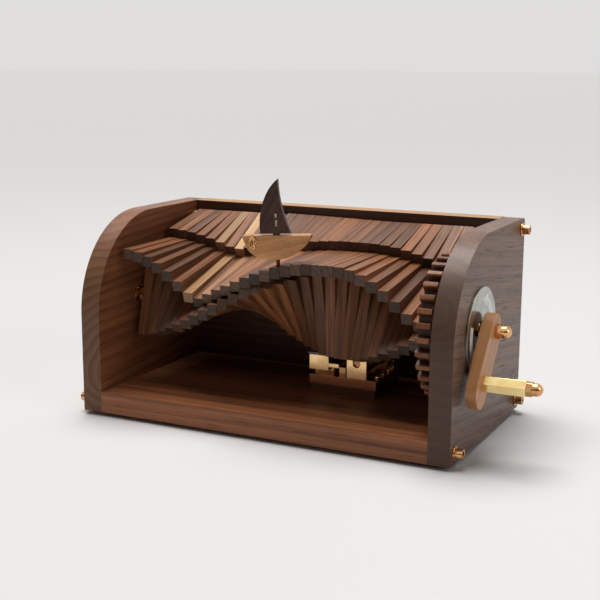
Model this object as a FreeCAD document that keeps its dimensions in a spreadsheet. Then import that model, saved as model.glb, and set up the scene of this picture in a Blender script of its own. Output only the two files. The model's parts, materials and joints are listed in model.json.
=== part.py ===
import FreeCAD, Part
import math
import os
import re
import Sketcher

# Wooden crank automaton: a row of levers rides a helix of sticks on a cranked shaft.
# Millimetres. X runs along the shaft to the crank, Y to the back, Z up from the table.

Vector = FreeCAD.Vector
Placement = FreeCAD.Placement
Rotation = FreeCAD.Rotation
AXIS_X = Vector(1, 0, 0)
AXIS_Z = Vector(0, 0, 1)
SAME_PLACE = 0.001

document = FreeCAD.newDocument("crank_automaton")

# Driving dimensions
driving = {
    # Case
    "case_width": 220.0,
    "case_depth": 119.0,
    "case_height": 110.5,
    "board": 12.0,
    "front_round": 55.0,
    "back_round": 2.5,
    "foot_radius": 7.5,
    "foot_height": 2.2,
    "foot_inset": 18.0,
    # Case screws
    "screw_radius": 1.5,
    "screw_length": 28.0,
    "screw_head_radius": 2.75,
    "screw_head_height": 4.0,
    "screw_socket_radius": 1.3,
    "screw_socket_depth": 2.0,
    "case_washer_radius": 3.7,
    "case_washer_thickness": 0.8,
    "screw_gap": 0.1,
    # Crank shaft
    "shaft_radius": 2.0,
    "shaft_inset": 40.0,
    "shaft_height": 62.0,
    "shaft_seat": 7.0,
    "bush_wall": 1.2,
    "bush_flange": 1.0,
    "bush_flange_rim": 1.3,
    "running_gap": 0.05,
    "end_gap": 0.3,
    "nut_flats": 7.0,
    "nut_height": 2.6,
    "thin_nut_height": 1.8,
    "nut_turning": 1.11,
    "cap_dome_step": 0.2,
    "shaft_washer_radius": 4.5,
    "shaft_washer_thickness": 0.8,
    # Helix of sticks
    "stick_count": 29,
    "stick_gap": 0.24,
    "stick_height": 6.0,
    "stick_length": 47.5,
    "row_start": 4.8,
    "helix_start": -75.5,
    "helix_step": 8.53,
    # Levers
    "lever_height": 6.0,
    "lever_inset": 18.8,
    "lever_tail": 4.1,
    "pivot_inset": 6.5,
    "pivot_height": 89.6,
    "rod_radius": 1.25,
    "rod_seat": 6.0,
    "rest_gap": 0.3,
    "spacer_wall": 1.2,
    # Upper sticks
    "upper_rise": 12.8,
    "upper_height": 5.5,
    "upper_reach": 34.2,
    "upper_gap": 0.05,
    "slot_play": 0.25,
    "slot_wall": 0.7,
    "crank_travel": 30.0,
    # Gears
    "gear_module": 2.28,
    "gear_teeth": 32,
    "gear_width": 7.8,
    "pinion_teeth": 12,
    "pinion_width": 7.0,
    "pinion_boss_radius": 6.0,
    "pinion_boss_length": 4.0,
    "tooth_backlash": 0.5,
    "gear_tooth_top": 1.42,
    "pinion_tooth_top": 1.5,
    "tooth_root": 3.0,
    "pressure_angle": 17.0,
    "gear_space": 2.6,
    "gear_panel_gap": 1.28,
    "gear_tooth_angle": 180.0,
    # Crank
    "disc_radius": 24.0,
    "disc_back": 1.0,
    "disc_drop": 2.0,
    "disc_thickness": 1.2,
    "disc_hole_radius": 5.0,
    "arm_stand": 3.3,
    "arm_thickness": 5.8,
    "arm_width": 18.3,
    "arm_span": 34.0,
    "handle_span": 29.4,
    "arm_angle": 231.2,
    "arm_edge_round": 0.4,
    "handle_screw_radius": 1.5,
    "handle_screw_head_radius": 2.75,
    "handle_screw_head_height": 1.6,
    "handle_length": 22.0,
    "handle_flats": 8.0,
    "cap_hex_height": 3.0,
    "cap_height": 8.0,
    # Music movement
    "riser_height": 5.0,
    "riser_inset": 0.8,
    "bed_left": 6.0,
    "bed_length": 40.8,
    "bed_to_wheel": 29.25,
    "bed_depth": 37.0,
    "bed_thickness": 5.2,
    "cylinder_x": 35.0,
    "cylinder_height": 14.0,
    "cylinder_radius": 6.5,
    "cylinder_length": 18.7,
    "cylinder_inset": 5.0,
    "arbor_radius": 2.3,
    "bearing_width": 11.8,
    "bearing_thickness": 4.0,
    "bearing_top": 2.4,
    "bearing_gap": 1.3,
    "arbor_recess": 1.5,
    "wheel_teeth": 24,
    "wheel_tip_radius": 7.4,
    "wheel_tooth_depth": 0.9,
    "wheel_width": 4.0,
    "worm_radius": 2.5,
    "worm_length": 14.0,
    "worm_gap": 0.1,
    "worm_shaft_radius": 1.5,
    "worm_shaft_seat": 5.0,
    "bracket_thickness": 4.0,
    "bracket_width": 6.0,
    "bracket_top": 3.5,
    "worm_end_gap": 0.5,
    "bed_screw_inset": 2.3,
    "bed_screw_start": 7.7,
    "bed_screw_pitch": 8.0,
    "bed_screw_count": 3,
    "bed_screw_depth": 14.0,
    "comb_block_width": 11.8,
    "comb_block_foot": 3.0,
    "comb_block_lip": 8.0,
    "comb_block_height": 11.3,
    "comb_ledge_width": 6.3,
    "comb_ledge_thickness": 2.2,
    "comb_ledge_drop": 4.05,
    "post_left": 16.2,
    "post_inset": 5.3,
    "post_width": 3.8,
    "post_depth": 4.0,
    "post_height": 4.2,
    "comb_thickness": 1.4,
    "comb_teeth": 18,
    "comb_tooth_length": 7.5,
    "comb_slit": 0.25,
    "comb_tip_gap": 0.4,
    "comb_overhang": 1.1,
    "comb_screw_radius": 1.0,
    "comb_screw_head_radius": 2.0,
    "comb_screw_head_height": 1.2,
    "comb_screw_depth": 6.0,
    "comb_screw_start": 3.5,
    "comb_screw_pitch": 8.0,
    "comb_screw_count": 3,
    "small_gap": 0.05,
    # Boat
    "boat_lever": 15,
    "boat_inset": 5.1,
    "boat_turn": 13.0,
    "boat_tilt": -2.0,
    "peg_radius": 1.05,
    "peg_depth": 4.0,
    "peg_show": 4.3,
    "hull_length": 38.5,
    "hull_height": 12.7,
    "hull_thickness": 6.0,
    "sail_height": 29.0,
    "sail_width": 16.8,
    "sail_thickness": 3.2,
    "sail_lift": 0.9,
    "sail_foot": 3.4,
    "sail_tenon": 4.0,
    "hull_peg_depth": 5.0,
    "slot_width": 1.7,
    "slot_height": 3.4,
    "slot_pitch": 4.6,
    "slot_start": 3.8,
}

# Places worked out from them
derived = {
    "right_reach": "arm_stand + arm_thickness + handle_length + cap_height",
    "left_reach": "case_washer_thickness + screw_head_height",
    "mid_x": "(left_reach - right_reach) / 2",
    "left_out": "mid_x - case_width / 2",
    "right_out": "mid_x + case_width / 2",
    "left_in": "left_out + board",
    "right_in": "right_out - board",
    "inner_width": "case_width - 2 * board",
    "front_y": "-case_depth / 2",
    "back_y": "case_depth / 2",
    "back_in": "back_y - board",
    "floor_z": "foot_height + board",
    "top_z": "foot_height + case_height",
    "shaft_y": "front_y + shaft_inset",
    "shaft_z": "foot_height + shaft_height",
    "bush_radius": "shaft_radius + bush_wall",
    "row_x": "left_in + row_start",
    "gear_x": "right_in - gear_panel_gap - gear_width",
    "row_end": "gear_x - gear_space",
    "stick_pitch": "(row_end - row_x + stick_gap) / stick_count",
    "stick_width": "stick_pitch - stick_gap",
    "pivot_y": "back_in - pivot_inset",
    "pivot_z": "foot_height + pivot_height",
    "lever_reach": "pivot_y - front_y - lever_inset",
    "upper_rod_height": "pivot_height + upper_rise",
    "upper_rod_z": "foot_height + upper_rod_height",
    "pitch_radius": "gear_module * gear_teeth / 2",
    "pinion_pitch_radius": "gear_module * pinion_teeth / 2",
    "riser_top": "floor_z + riser_height",
    "bed_top": "riser_top + bed_thickness",
    "bed_x": "mid_x + bed_left",
    "cylinder_mid_x": "mid_x + cylinder_x",
    "cylinder_z": "riser_top + cylinder_height",
    "worm_z": "cylinder_z + wheel_tip_radius + worm_gap + worm_radius",
    "mesh_reach": "pitch_radius + pinion_pitch_radius",
    "wheel_mid_y": "shaft_y + sqrt(mesh_reach ^ 2 - (shaft_z - worm_z) ^ 2)",
    "wheel_start": "wheel_mid_y - wheel_width / 2",
    "bed_front": "wheel_mid_y - bed_to_wheel",
    "cylinder_start": "bed_front + cylinder_inset",
    "rear_bearing_y": "wheel_start + wheel_width + bearing_gap",
    "comb_z": "bed_top + comb_block_height",
    "comb_rise": "comb_z + comb_thickness / 2 - cylinder_z",
    "comb_tip_x": "cylinder_mid_x - sqrt(cylinder_radius ^ 2 - comb_rise ^ 2) - comb_tip_gap",
    "handle_y": "shaft_y + handle_span * cos(arm_angle)",
    "handle_z": "shaft_z + handle_span * sin(arm_angle)",
    "arm_half_width": "arm_width / 2",
    "arm_x": "right_out + arm_stand",
    "arm_out": "arm_x + arm_thickness",
    "cap_x": "arm_out + handle_length",
    "boat_forward": "lever_reach - boat_inset",
}

sheet = document.addObject("Spreadsheet::Sheet", "Sizes")


def qualified(formula):
    """A formula with each size's name led by the sheet's."""
    return re.sub(r"\b([a-z]+(?:_[a-z]+)*)\b", lambda m: named(m.group(1)), formula)


def named(word):
    if word in driving or word in derived:
        return "Sizes." + word
    return word


row = 0
for alias, value in driving.items():
    row += 1
    sheet.set("A%d" % row, alias)
    sheet.set("B%d" % row, str(value))
    sheet.setAlias("B%d" % row, alias)
for alias, formula in derived.items():
    row += 1
    sheet.set("A%d" % row, alias)
    sheet.set("B%d" % row, "=" + formula)
    sheet.setAlias("B%d" % row, alias)
document.recompute()


def size(alias):
    """The number that a cell holds now."""
    return float(sheet.get(alias))


# Helpers that make bound objects
ALONG = {
    "x": Rotation(Vector(0, 1, 0), 90),
    "y": Rotation(Vector(1, 0, 0), -90),
    "z": Rotation(),
}
PLACES = {"x": "Placement.Base.x", "y": "Placement.Base.y", "z": "Placement.Base.z"}
FRONT_CORNER = 30
HANDLE_RISE = 10


def bind(item, **formulas):
    """Ties an object's sizes and place to the sheet."""
    for key, formula in formulas.items():
        item.setExpression(PLACES.get(key, key), qualified(formula))
    return item


def box(name, length, width, height, x="0", y="0", z="0"):
    item = document.addObject("Part::Box", name)
    return bind(item, Length=length, Width=width, Height=height, x=x, y=y, z=z)


def rod(name, radius, length, x="0", y="0", z="0", along="x"):
    item = document.addObject("Part::Cylinder", name)
    item.Placement = Placement(Vector(), ALONG[along])
    return bind(item, Radius=radius, Height=length, x=x, y=y, z=z)


def prism(name, flats, length, x, y, z, turn=FRONT_CORNER):
    """A six-sided bar along X, with a corner at the front unless turned."""
    item = document.addObject("Part::Prism", name)
    item.Polygon = 6
    item.Placement = Placement(Vector(), ALONG["x"] * Rotation(AXIS_Z, turn))
    return bind(item, Circumradius="(%s) / sqrt(3)" % flats, Height=length, x=x, y=y, z=z)


def ball(name, radius, x, y, z):
    item = document.addObject("Part::Sphere", name)
    return bind(item, Radius=radius, x=x, y=y, z=z)


def group(name, items):
    """Separate solids under one name."""
    item = document.addObject("Part::Compound", name)
    item.Links = items
    return item


def cut(name, base, *tools):
    item = document.addObject("Part::Cut", name)
    item.Base = base
    item.Tool = tools[0] if len(tools) == 1 else group(name + "_tools", list(tools))
    return item


def fuse(name, *items):
    item = document.addObject("Part::MultiFuse", name)
    item.Shapes = list(items)
    return item


def common(name, *items):
    item = document.addObject("Part::MultiCommon", name)
    item.Shapes = list(items)
    return item


def body_with_sketch(name, plane):
    """A body and a sketch on one of its own planes."""
    body = document.addObject("PartDesign::Body", name)
    sketch = body.newObject("Sketcher::SketchObject", name + "_sketch")
    for feature in body.Origin.OriginFeatures:
        if feature.Role == plane:
            sketch.AttachmentSupport = (feature, [""])
    sketch.MapMode = "FlatFace"
    return body, sketch


def pad(body, sketch, length):
    feature = body.newObject("PartDesign::Pad", body.Name + "_pad")
    feature.Profile = sketch
    feature.setExpression("Length", qualified(length))
    return feature


def line(x0, y0, x1, y1):
    return Part.LineSegment(Vector(x0, y0, 0), Vector(x1, y1, 0))


def arc_through(x0, y0, x1, y1, x2, y2):
    return Part.Arc(Vector(x0, y0, 0), Vector(x1, y1, 0), Vector(x2, y2, 0))


def round_arc(x, y, radius, start, end):
    circle = Part.Circle(Vector(x, y, 0), AXIS_Z, radius)
    return Part.ArcOfCircle(circle, math.radians(start), math.radians(end))


def dimension(sketch, kind, alias, *where):
    """A sketch dimension that follows the sheet."""
    index = sketch.addConstraint(Sketcher.Constraint(kind, *where, size(alias)))
    sketch.setExpression("Constraints[%d]" % index, qualified(alias))


nodes = []


def node(name, item):
    """Marks a finished piece, which is written under its own name."""
    item.Label = name
    nodes.append(item)
    return item


def hex_nut(name, x, y, z, height, hole_radius, flats="nut_flats"):
    """A hex nut with its corners turned down."""
    blank = prism(name + "_blank", flats, height, x, y, z)
    rounded = rod(name + "_turned", "(%s) * nut_turning / 2" % flats, height, x, y, z)
    hole = rod(name + "_hole", hole_radius, height, x, y, z)
    return cut(name, common(name + "_body", blank, rounded), hole)


def cap_nut(name, x, y, z, hole_radius, flats="nut_flats"):
    """An acorn nut: a hex foot under a dome, with a blind hole."""
    foot = prism(name + "_foot", flats, "cap_hex_height", x, y, z)
    turned = rod(name + "_turned", "(%s) * nut_turning / 2" % flats, "cap_hex_height", x, y, z)
    dome_radius = "((%s) / 2 - cap_dome_step)" % flats
    neck = rod(name + "_neck", dome_radius, "cap_height - " + dome_radius, x, y, z)
    dome = ball(name + "_dome", dome_radius, x + " + cap_height - " + dome_radius, y, z)
    solid = fuse(name + "_solid", common(name + "_hex", foot, turned), neck, dome)
    hole = rod(name + "_hole", hole_radius, "cap_height - " + dome_radius, x, y, z)
    return cut(name, solid, hole)


# Case boards
screw_places = {
    "front": ("front_y + board / 2", "foot_height + board / 2"),
    "rear": ("back_y - board / 2", "foot_height + board / 2"),
    "top": ("back_y - board / 2", "top_z - board / 2"),
}


def screw_drills(name):
    """The clearance holes of the case screws, from both sides."""
    holes = []
    for place, (y, z) in screw_places.items():
        radius = "screw_radius + screw_gap"
        length = "screw_length + screw_gap"
        holes.append(rod(name + "_left_" + place, radius, length, "left_out", y, z))
        start = "right_out - screw_length - screw_gap"
        holes.append(rod(name + "_right_" + place, radius, length, start, y, z))
    return holes


def panel_body(name, x):
    """A side board: square below, with a large round at the top front."""
    depth = size("case_depth")
    height = size("case_height")
    front = size("front_round")
    back = size("back_round")
    body, sketch = body_with_sketch(name, "YZ_Plane")
    sketch.addGeometry(
        [
            line(0, 0, depth, 0),
            line(depth, 0, depth, height - back),
            round_arc(depth - back, height - back, back, 0, 90),
            line(depth - back, height, front, height),
            round_arc(front, height - front, front, 90, 180),
            line(0, height - front, 0, 0),
        ]
    )
    sketch.addConstraint(Sketcher.Constraint("Coincident", 0, 1, -1, 1))
    sketch.addConstraint(Sketcher.Constraint("Coincident", 0, 2, 1, 1))
    sketch.addConstraint(Sketcher.Constraint("Tangent", 1, 2, 2, 1))
    sketch.addConstraint(Sketcher.Constraint("Tangent", 2, 2, 3, 1))
    sketch.addConstraint(Sketcher.Constraint("Tangent", 3, 2, 4, 1))
    sketch.addConstraint(Sketcher.Constraint("Tangent", 4, 2, 5, 1))
    sketch.addConstraint(Sketcher.Constraint("Coincident", 5, 2, 0, 1))
    sketch.addConstraint(Sketcher.Constraint("Horizontal", 0))
    sketch.addConstraint(Sketcher.Constraint("Vertical", 1))
    sketch.addConstraint(Sketcher.Constraint("Horizontal", 3))
    sketch.addConstraint(Sketcher.Constraint("Vertical", 5))
    dimension(sketch, "DistanceX", "case_depth", 0, 1, 0, 2)
    dimension(sketch, "DistanceY", "case_height", -1, 1, 3, 1)
    dimension(sketch, "Radius", "back_round", 2)
    dimension(sketch, "Radius", "front_round", 4)
    pad(body, sketch, "board")
    return bind(body, x=x, y="front_y", z="foot_height")


rod_hole = "rod_radius + running_gap"


def rod_seats(name, x):
    """Blind holes for the ends of the two lever rods."""
    lower = rod(name + "_lower", rod_hole, "rod_seat + running_gap", x, "pivot_y", "pivot_z")
    upper = rod(name + "_upper", rod_hole, "rod_seat + running_gap", x, "pivot_y", "upper_rod_z")
    return [lower, upper]


bush_hole = "bush_radius + running_gap"
left_tools = screw_drills("left_drill") + rod_seats("left_seat", "left_in - rod_seat - running_gap")
left_tools.append(
    rod("left_bush_hole", bush_hole, "shaft_seat + running_gap",
        "left_in - shaft_seat - running_gap", "shaft_y", "shaft_z")
)
node("left_panel", cut("left_panel", panel_body("left_board", "left_out"), *left_tools))

right_tools = screw_drills("right_drill") + rod_seats("right_seat", "right_in")
right_tools.append(rod("right_bush_hole", bush_hole, "board", "right_in", "shaft_y", "shaft_z"))
right_tools.append(
    rod("worm_seat", "worm_shaft_radius + running_gap", "worm_shaft_seat + running_gap",
        "right_in", "wheel_mid_y", "worm_z")
)
node("right_panel", cut("right_panel", panel_body("right_board", "right_in"), *right_tools))

back_board = box("back_board", "inner_width", "board", "case_height", "left_in", "back_in", "foot_height")
node("back_panel", cut("back_panel", back_board, *screw_drills("back_drill")))

feet = []
for side in ("left", "right"):
    for end in ("front", "rear"):
        x = "left_out + foot_inset" if side == "left" else "right_out - foot_inset"
        y = "front_y + foot_inset" if end == "front" else "back_in - foot_inset"
        feet.append(rod("foot_%s_%s" % (side, end), "foot_radius", "foot_height", x, y, "0", "z"))
node("foot_pads", group("foot_pads", feet))


# Case screws
def case_screw(name, side, y, z):
    """A cap screw with a socket, its head outside its washer."""
    on_left = side == "left"
    face = "left_out - case_washer_thickness" if on_left else "right_out + case_washer_thickness"
    head_x = face + " - screw_head_height" if on_left else face
    shank_x = face if on_left else "right_out - screw_length"
    socket_x = head_x if on_left else face + " + screw_head_height - screw_socket_depth"
    head = rod(name + "_head", "screw_head_radius", "screw_head_height", head_x, y, z)
    shank_length = "screw_length + case_washer_thickness"
    shank = rod(name + "_shank", "screw_radius", shank_length, shank_x, y, z)
    socket = prism(name + "_socket", "2 * screw_socket_radius", "screw_socket_depth", socket_x, y, z)
    return cut(name, fuse(name + "_solid", head, shank), socket)


def case_washer(name, side, y, z):
    x = "left_out - case_washer_thickness" if side == "left" else "right_out"
    disc = rod(name + "_disc", "case_washer_radius", "case_washer_thickness", x, y, z)
    hole = rod(name + "_hole", "screw_radius + screw_gap", "case_washer_thickness", x, y, z)
    return cut(name, disc, hole)


screws = []
washers = []
for side in ("left", "right"):
    for place, (y, z) in screw_places.items():
        screws.append(case_screw("screw_%s_%s" % (side, place), side, y, z))
        washers.append(case_washer("washer_%s_%s" % (side, place), side, y, z))
node("case_screws", group("case_screws", screws))
node("case_washers", group("case_washers", washers))

# Lever rods, their spacers and the shaft bushes
rod_length = "inner_width + 2 * rod_seat"
node("pivot_rod", rod("pivot_rod", "rod_radius", rod_length, "left_in - rod_seat", "pivot_y", "pivot_z"))
node("upper_rod", rod("upper_rod", "rod_radius", rod_length, "left_in - rod_seat", "pivot_y", "upper_rod_z"))


def spacer(name, x, length, z):
    tube = rod(name + "_tube", "rod_radius + running_gap + spacer_wall", length, x, "pivot_y", z)
    hole = rod(name + "_hole", rod_hole, length, x, "pivot_y", z)
    return cut(name, tube, hole)


spacers = []
for level, z in (("lower", "pivot_z"), ("upper", "upper_rod_z")):
    spacers.append(spacer("spacer_left_" + level, "left_in", "row_start - end_gap", z))
    spacers.append(spacer("spacer_right_" + level, "row_end + end_gap", "right_in - row_end - end_gap", z))
node("rod_spacers", group("rod_spacers", spacers))


shaft_hole = "shaft_radius + running_gap"


def bush(name, x, length, flange_x):
    tube = rod(name + "_tube", "bush_radius", length, x, "shaft_y", "shaft_z")
    rim = "bush_radius + bush_flange_rim"
    flange = rod(name + "_flange", rim, "bush_flange", flange_x, "shaft_y", "shaft_z")
    hole = rod(name + "_hole", shaft_hole, length + " + bush_flange", x, "shaft_y", "shaft_z")
    return cut(name, fuse(name + "_solid", tube, flange), hole)


left_bush = bush("left_bush", "left_in - shaft_seat", "shaft_seat", "left_in")
right_bush = bush("right_bush", "right_in - bush_flange", "board + bush_flange", "right_in - bush_flange")
node("shaft_bushes", group("shaft_bushes", [left_bush, right_bush]))

# Crank shaft with its nuts and washers
shaft_end = "arm_out + cap_height / 2"
shaft_start = "left_in - shaft_seat + end_gap"
shaft_length = "%s - (%s)" % (shaft_end, shaft_start)
node("main_shaft", rod("main_shaft", "shaft_radius", shaft_length, shaft_start, "shaft_y", "shaft_z"))


def shaft_washer(name, x):
    disc = rod(name + "_disc", "shaft_washer_radius", "shaft_washer_thickness", x, "shaft_y", "shaft_z")
    hole = rod(name + "_hole", shaft_hole, "shaft_washer_thickness", x, "shaft_y", "shaft_z")
    return cut(name, disc, hole)


row_washer_x = "row_x - small_gap - shaft_washer_thickness"
row_nut_x = row_washer_x + " - small_gap - nut_height"
left_nut = hex_nut("left_nut", row_nut_x, "shaft_y", "shaft_z", "nut_height", shaft_hole)
left_washer = shaft_washer("left_washer", row_washer_x)
gear_nut = hex_nut(
    "gear_nut", "row_end + small_gap", "shaft_y", "shaft_z", "gear_space - 2 * small_gap", shaft_hole
)
node("shaft_nuts", group("shaft_nuts", [left_nut, left_washer, gear_nut]))

# Geometry of the helix and the levers
to_pivot_y = size("pivot_y") - size("shaft_y")
to_pivot_z = size("pivot_z") - size("shaft_z")


def stick_angle(index):
    """The turn of a stick: 0 points to the front, 90 up."""
    return size("helix_start") + size("helix_step") * index


def resting_slope(angle, gap):
    """How far a lever's front hangs down, in degrees, on the highest corner of its stick."""
    turn = math.radians(angle)
    half_length = size("stick_length") / 2
    half_height = size("stick_height") / 2
    slopes = []
    for end in (-1, 1):
        for face in (-1, 1):
            forward = end * half_length * math.cos(turn) - face * half_height * math.sin(turn)
            up = end * half_length * math.sin(turn) + face * half_height * math.cos(turn)
            run = to_pivot_y + forward
            drop = to_pivot_z - up
            reach = math.hypot(run, drop)
            lift = math.asin((size("lever_height") / 2 + gap) / reach)
            slopes.append(math.degrees(math.atan2(drop, run) - lift))
    return min(slopes)


def lever_slope(index):
    return resting_slope(stick_angle(index), size("rest_gap"))


def lever_ratio(index):
    """Degrees of lever per degree of crank that keep the lever clear of its stick over the travel."""
    start = lever_slope(index)
    travel = size("crank_travel")
    steps = 60
    ratios = []
    for step in range(1, steps + 1):
        turned = travel * step / steps
        slope = resting_slope(stick_angle(index) - turned, size("rest_gap") / 2)
        ratios.append((slope - start) / turned)
    return min(ratios)


def upper_slope(index):
    """The slope of the upper stick, whose front edge lies on the lever."""
    slope = math.radians(lever_slope(index))
    rise = size("upper_rod_height") - size("pivot_height")
    corner = math.hypot(size("upper_reach"), size("upper_height") / 2)
    corner_turn = math.atan2(size("upper_height") / 2, size("upper_reach"))
    seat = size("lever_height") / 2 + size("upper_gap")
    dip = slope + math.asin((rise * math.cos(slope) - seat) / corner)
    return math.degrees(dip - corner_turn)


# Helix of sticks
sticks = []
for index in range(int(size("stick_count"))):
    name = "stick_%02d" % (index + 1)
    blank = box(
        name + "_blank", "stick_width", "stick_length", "stick_height",
        "0", "-stick_length / 2", "-stick_height / 2",
    )
    hole = rod(name + "_hole", shaft_hole, "stick_width")
    stick = cut(name, blank, hole)
    stick.Placement = Placement(Vector(), Rotation(AXIS_X, -stick_angle(index)))
    bind(stick, x="row_x + %d * stick_pitch" % index, y="shaft_y", z="shaft_z")
    sticks.append(stick)
node("cam_sticks", group("cam_sticks", sticks))


# Where the boat's peg stands on its lever, in the lever's own axes
peg_turn = Rotation(Vector(0, 1, 0), size("boat_tilt")) * Rotation(AXIS_Z, size("boat_turn"))
peg_foot = Placement(
    Vector(size("stick_width") / 2, -size("boat_forward"), size("lever_height") / 2), peg_turn
)


# Levers, each with its upper stick
def peg_seat():
    """A blind hole along the peg, open at the lever's top."""
    item = document.addObject("Part::Cylinder", "peg_seat")
    bind(item, Radius="peg_radius + small_gap", Height="peg_depth + small_gap + peg_radius")
    item.Placement = peg_foot * Placement(Vector(0, 0, -size("peg_depth") - size("small_gap")), Rotation())
    return item


def lever(index):
    name = "lever_%02d" % (index + 1)
    blank = box(
        name + "_blank", "stick_width", "lever_reach + lever_tail", "lever_height",
        "0", "-lever_reach", "-lever_height / 2",
    )
    hole = rod(name + "_hole", rod_hole, "stick_width")
    tools = [hole]
    if index == int(size("boat_lever")):
        tools.append(peg_seat())
    slat = cut(name, blank, *tools)
    slat.Placement = Placement(Vector(), Rotation(AXIS_X, lever_slope(index)))
    return bind(slat, x="row_x + %d * stick_pitch" % index, y="pivot_y", z="pivot_z")


def slot_end(index):
    """Where the upper rod comes to in the upper stick as the lever turns, in the stick's own axes."""
    swing = math.radians(lever_ratio(index) * size("crank_travel"))
    rise = size("upper_rod_height") - size("pivot_height")
    back = rise * math.sin(swing)
    up = rise * math.cos(swing) - rise
    tilt = math.radians(upper_slope(index))
    along = back * math.cos(tilt) + up * math.sin(tilt)
    across = up * math.cos(tilt) - back * math.sin(tilt)
    return along, across


def upper_stick(index):
    name = "upper_%02d" % (index + 1)
    along, across = slot_end(index)
    length = math.hypot(along, across)
    turn = math.degrees(math.atan2(across, along))
    radius = "rod_radius + slot_play"
    tail = "%.5f + %s + slot_wall" % (max(0, along), radius)
    blank = box(
        name + "_blank", "stick_width", "upper_reach + " + tail, "upper_height",
        "0", "-upper_reach", "-upper_height / 2",
    )
    start = rod(name + "_slot_start", radius, "stick_width")
    end = rod(name + "_slot_end", radius, "stick_width", y="%.5f" % along, z="%.5f" % across)
    middle = document.addObject("Part::Box", name + "_slot_middle")
    bind(middle, Length="stick_width", Width="%.5f" % length, Height="2 * (%s)" % radius)
    half = size("rod_radius") + size("slot_play")
    spin = Rotation(AXIS_X, turn)
    middle.Placement = Placement(spin.multVec(Vector(0, 0, -half)), spin)
    piece = cut(name, blank, fuse(name + "_slot", start, middle, end))
    piece.Placement = Placement(Vector(), Rotation(AXIS_X, upper_slope(index)))
    return bind(piece, x="row_x + %d * stick_pitch" % index, y="pivot_y", z="upper_rod_z")


for index in range(int(size("stick_count"))):
    name = "wave_lever_%02d" % (index + 1)
    node(name, group(name, [lever(index), upper_stick(index)]))


# Gears
def half_tooth(radius, teeth, pitch_radius):
    """Half a tooth's width as an angle, on an involute above the base circle."""
    pressure = math.radians(size("pressure_angle"))
    base = pitch_radius * math.cos(pressure)
    at_pitch = math.pi / (2 * teeth) - size("tooth_backlash") / (4 * pitch_radius)
    here = math.acos(base / max(radius, base))
    spread = math.tan(pressure) - pressure - math.tan(here) + here
    return at_pitch + spread


def gear_face(teeth, pitch_radius, tooth_top, turn):
    """The outline of a spur gear about the origin, across X, with a tooth at the given turn."""
    tip = pitch_radius + tooth_top
    root = pitch_radius - size("tooth_root")
    flank = [root, pitch_radius, (pitch_radius + tip) / 2, tip]

    def spot(radius, angle):
        return Vector(0, radius * math.cos(angle), radius * math.sin(angle))

    edges = []
    step = 2 * math.pi / teeth
    for tooth in range(teeth):
        middle = math.radians(turn) + tooth * step
        rise = [spot(r, middle - half_tooth(r, teeth, pitch_radius)) for r in flank]
        fall = [spot(r, middle + half_tooth(r, teeth, pitch_radius)) for r in reversed(flank)]
        following = spot(root, middle + step - half_tooth(root, teeth, pitch_radius))
        for first, second in zip(rise, rise[1:]):
            edges.append(Part.LineSegment(first, second).toShape())
        edges.append(Part.Arc(rise[-1], spot(tip, middle), fall[0]).toShape())
        for first, second in zip(fall, fall[1:]):
            edges.append(Part.LineSegment(first, second).toShape())
        edges.append(Part.Arc(fall[-1], spot(root, middle + step / 2), following).toShape())
    return Part.Face(Part.Wire(edges))


def gear_blank(name, teeth, pitch_radius, tooth_top, turn, width, x, y, z):
    face = document.addObject("Part::Feature", name + "_outline")
    face.Shape = gear_face(int(size(teeth)), size(pitch_radius), size(tooth_top), turn)
    blank = document.addObject("Part::Extrusion", name + "_blank")
    blank.Base = face
    blank.DirMode = "Custom"
    blank.Dir = AXIS_X
    blank.Solid = True
    blank.setExpression("LengthFwd", qualified(width))
    return bind(blank, x=x, y=y, z=z)


# A tooth of the drive gear points to the front, and the pinion has a gap where the two meet
gear_turn = size("gear_tooth_angle")
meeting = math.degrees(math.atan2(size("worm_z") - size("shaft_z"), size("wheel_mid_y") - size("shaft_y")))
past_tooth = (meeting - gear_turn) % (360.0 / size("gear_teeth"))
pinion_gap = meeting + 180 + past_tooth * size("gear_teeth") / size("pinion_teeth")
pinion_turn = pinion_gap + 180.0 / size("pinion_teeth")

gear = gear_blank(
    "gear", "gear_teeth", "pitch_radius", "gear_tooth_top", gear_turn,
    "gear_width", "gear_x", "shaft_y", "shaft_z",
)
gear_hole = rod("gear_hole", shaft_hole, "gear_width", "gear_x", "shaft_y", "shaft_z")
node("drive_gear", cut("drive_gear", gear, gear_hole))

pinion_x = "gear_x + (gear_width - pinion_width) / 2"
boss_x = pinion_x + " - pinion_boss_length"
pinion = gear_blank(
    "pinion", "pinion_teeth", "pinion_pitch_radius", "pinion_tooth_top", pinion_turn,
    "pinion_width", pinion_x, "wheel_mid_y", "worm_z",
)
pinion_boss = rod("pinion_boss", "pinion_boss_radius", "pinion_boss_length", boss_x, "wheel_mid_y", "worm_z")
pinion_hole = rod(
    "pinion_hole", "worm_shaft_radius + small_gap", "pinion_width + pinion_boss_length",
    boss_x, "wheel_mid_y", "worm_z",
)
node("drive_pinion", cut("drive_pinion", fuse("pinion_solid", pinion, pinion_boss), pinion_hole))

# Arrow disc, crank arm and handle
# The disc hangs a little behind and below the shaft, with its hole around the shaft
disc = rod(
    "disc_blank", "disc_radius", "disc_thickness",
    "right_out", "shaft_y + disc_back", "shaft_z - disc_drop",
)
disc_hole = rod("disc_hole", "disc_hole_radius", "disc_thickness", "right_out", "shaft_y", "shaft_z")
node("arrow_disc", cut("arrow_disc", disc, disc_hole))


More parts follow.
